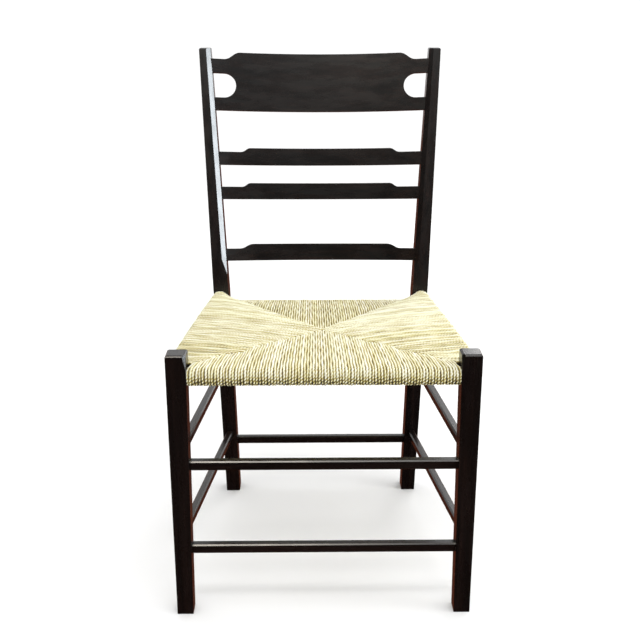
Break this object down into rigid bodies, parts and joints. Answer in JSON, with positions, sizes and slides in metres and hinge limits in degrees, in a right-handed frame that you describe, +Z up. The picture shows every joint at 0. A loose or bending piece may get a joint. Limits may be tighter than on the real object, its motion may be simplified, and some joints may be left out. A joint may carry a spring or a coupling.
{
  "type": "dining chair",
  "caption": "Ladder-back dining chair: square tapered legs, raked bowed slats, a crest rail with rounded finger gaps, rectangular stretchers and a woven rush seat.",
  "frame": {"origin": "on the floor, in the middle of the chair's box seen from above", "axes": "+Z up, +X to the right of a person facing the front of the chair, the front faces -Y and the back +Y; X = 0 is the plane of symmetry"},
  "size_m": [0.51, 0.589, 0.913],
  "materials": {
    "dark_wood": "very dark brown stain under semi-gloss lacquer",
    "seat_frame_wood": "bare, hidden under the rush",
    "rush": "twisted natural rush, matt with a slight straw sheen",
    "packing": "dry loose rush, hidden in the seat"
  },
  "bodies": {
    "root": {"front_leg_left": "dark_wood", "front_leg_right": "dark_wood", "rear_post_left": "dark_wood", "rear_post_right": "dark_wood", "crest_rail": "dark_wood", "ladder_slat_upper": "dark_wood", "ladder_slat_middle": "dark_wood", "ladder_slat_lower": "dark_wood", "front_stretcher_upper": "dark_wood", "front_stretcher_lower": "dark_wood", "side_stretcher_left_upper": "dark_wood", "side_stretcher_left_lower": "dark_wood", "side_stretcher_right_upper": "dark_wood", "side_stretcher_right_lower": "dark_wood", "back_stretcher": "dark_wood", "seat_rail_front": "seat_frame_wood", "seat_rail_back": "seat_frame_wood", "seat_rail_left": "seat_frame_wood", "seat_rail_right": "seat_frame_wood", "rush_seat": "rush", "seat_packing": "packing"}
  },
  "joints": []
}
